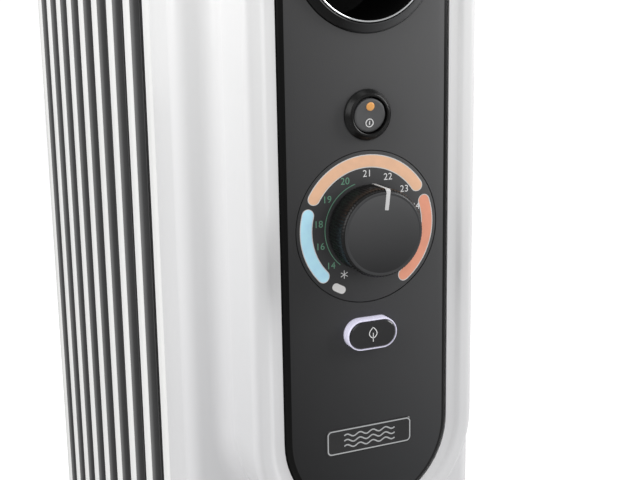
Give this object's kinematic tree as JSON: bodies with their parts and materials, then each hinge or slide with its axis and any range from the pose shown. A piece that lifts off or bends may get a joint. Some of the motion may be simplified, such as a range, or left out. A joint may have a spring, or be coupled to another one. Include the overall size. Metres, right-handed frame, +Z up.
{
  "type": "oil filled radiator heater",
  "caption": "Column radiator on castors with a rounded end casing, black control strip, thermostat knob, rocker switch, push key and finger cup.",
  "frame": {"origin": "on the floor, under the centre of the bounding box", "axes": "+X across the heater to the right as seen from the control end, +Y from the control end towards the far fins, +Z up"},
  "size_m": [0.25, 0.4413, 0.645],
  "materials": {
    "enamel": "gloss white enamel",
    "casing": "gloss white moulding",
    "panel": "satin black",
    "gloss_black": "gloss black",
    "dull_black": "fine matt black",
    "bright_trim": "bright chrome",
    "plain_steel": "zinc plated",
    "brass": "machined brass",
    "amber_lens": "translucent amber",
    "lit_lens": "lit translucent white",
    "print_white": "white",
    "circuit_board": "green laminate",
    "brown_moulding": "brown phenolic",
    "castor_white": "gloss white moulding",
    "castor_tread": "dark grey tread"
  },
  "bodies": {
    "heater": {"fin_1": "enamel", "fin_2": "enamel", "fin_3": "enamel", "fin_4": "enamel", "fin_5": "enamel", "fin_6": "enamel", "fin_7": "enamel", "fin_8": "enamel", "fin_9": "enamel", "header_cap_top": "enamel", "header_cap_bottom": "enamel", "heating_element": "plain_steel", "element_flange": "brass", "oil_filler_plug": "plain_steel", "control_casing": "casing", "heat_shield": "plain_steel", "thermal_cutout": "brown_moulding", "tilt_switch": "dull_black", "terminal_block": "brown_moulding", "cable_gland": "dull_black", "control_panel": "panel", "badge": "gloss_black", "handle_cup": "gloss_black", "handle_trim_ring": "bright_trim", "rocker_bezel": "gloss_black", "rocker_switch_body": "dull_black", "dial_disc": "panel", "thermostat_body": "brown_moulding", "eco_light_ring": "lit_lens", "eco_switch": "dull_black", "control_board": "circuit_board", "foot_beam_front": "enamel", "foot_clamp_front": "plain_steel", "wing_nut_front_left": "plain_steel", "wing_nut_front_right": "plain_steel", "foot_beam_rear": "enamel", "foot_clamp_rear": "plain_steel", "wing_nut_rear_left": "plain_steel", "wing_nut_rear_right": "plain_steel"},
    "knob": {"thermostat_knob": "gloss_black", "knob_pointer": "print_white", "thermostat_shaft": "plain_steel"},
    "rocker": {"power_rocker": "gloss_black", "rocker_lamp": "amber_lens"},
    "eco_key": {"eco_button": "gloss_black"},
    "castor_front_left": {"castor_fork_front_left": "castor_white", "castor_axle_front_left": "plain_steel"},
    "wheel_front_left": {"castor_wheel_front_left": "castor_tread"},
    "castor_front_right": {"castor_fork_front_right": "castor_white", "castor_axle_front_right": "plain_steel"},
    "wheel_front_right": {"castor_wheel_front_right": "castor_tread"},
    "castor_rear_left": {"castor_fork_rear_left": "castor_white", "castor_axle_rear_left": "plain_steel"},
    "wheel_rear_left": {"castor_wheel_rear_left": "castor_tread"},
    "castor_rear_right": {"castor_fork_rear_right": "castor_white", "castor_axle_rear_right": "plain_steel"},
    "wheel_rear_right": {"castor_wheel_rear_right": "castor_tread"}
  },
  "joints": [
    {"name": "thermostat_turn", "type": "hinge", "parent": "heater", "child": "knob", "pos_m": [0, -0.20365, 0.4478], "axis": [0, 1, 0], "range_deg": [-157, 141]},
    {"name": "power_rock", "type": "hinge", "parent": "heater", "child": "rocker", "pos_m": [0, -0.20465, 0.4984], "axis": [-1, 0, 0], "range_deg": [0, 16]},
    {"name": "eco_press", "type": "slide", "parent": "heater", "child": "eco_key", "axis": [0, 1, 0], "range_m": [0, 0.0012], "stiffness_N_per_m": 400, "springref_m": -0.0005},
    {"name": "swivel_front_left", "type": "hinge", "parent": "heater", "child": "castor_front_left", "pos_m": [-0.104, -0.10315, 0.063], "axis": [0, 0, 1], "continuous": true},
    {"name": "roll_front_left", "type": "hinge", "parent": "castor_front_left", "child": "wheel_front_left", "pos_m": [-0.104, -0.08915, 0.022], "axis": [1, 0, 0], "continuous": true},
    {"name": "swivel_front_right", "type": "hinge", "parent": "heater", "child": "castor_front_right", "pos_m": [0.104, -0.10315, 0.063], "axis": [0, 0, 1], "continuous": true},
    {"name": "roll_front_right", "type": "hinge", "parent": "castor_front_right", "child": "wheel_front_right", "pos_m": [0.104, -0.08915, 0.022], "axis": [1, 0, 0], "continuous": true},
    {"name": "swivel_rear_left", "type": "hinge", "parent": "heater", "child": "castor_rear_left", "pos_m": [-0.104, 0.18525, 0.063], "axis": [0, 0, 1], "continuous": true},
    {"name": "roll_rear_left", "type": "hinge", "parent": "castor_rear_left", "child": "wheel_rear_left", "pos_m": [-0.104, 0.19925, 0.022], "axis": [1, 0, 0], "continuous": true},
    {"name": "swivel_rear_right", "type": "hinge", "parent": "heater", "child": "castor_rear_right", "pos_m": [0.104, 0.18525, 0.063], "axis": [0, 0, 1], "continuous": true},
    {"name": "roll_rear_right", "type": "hinge", "parent": "castor_rear_right", "child": "wheel_rear_right", "pos_m": [0.104, 0.19925, 0.022], "axis": [1, 0, 0], "continuous": true}
  ]
}
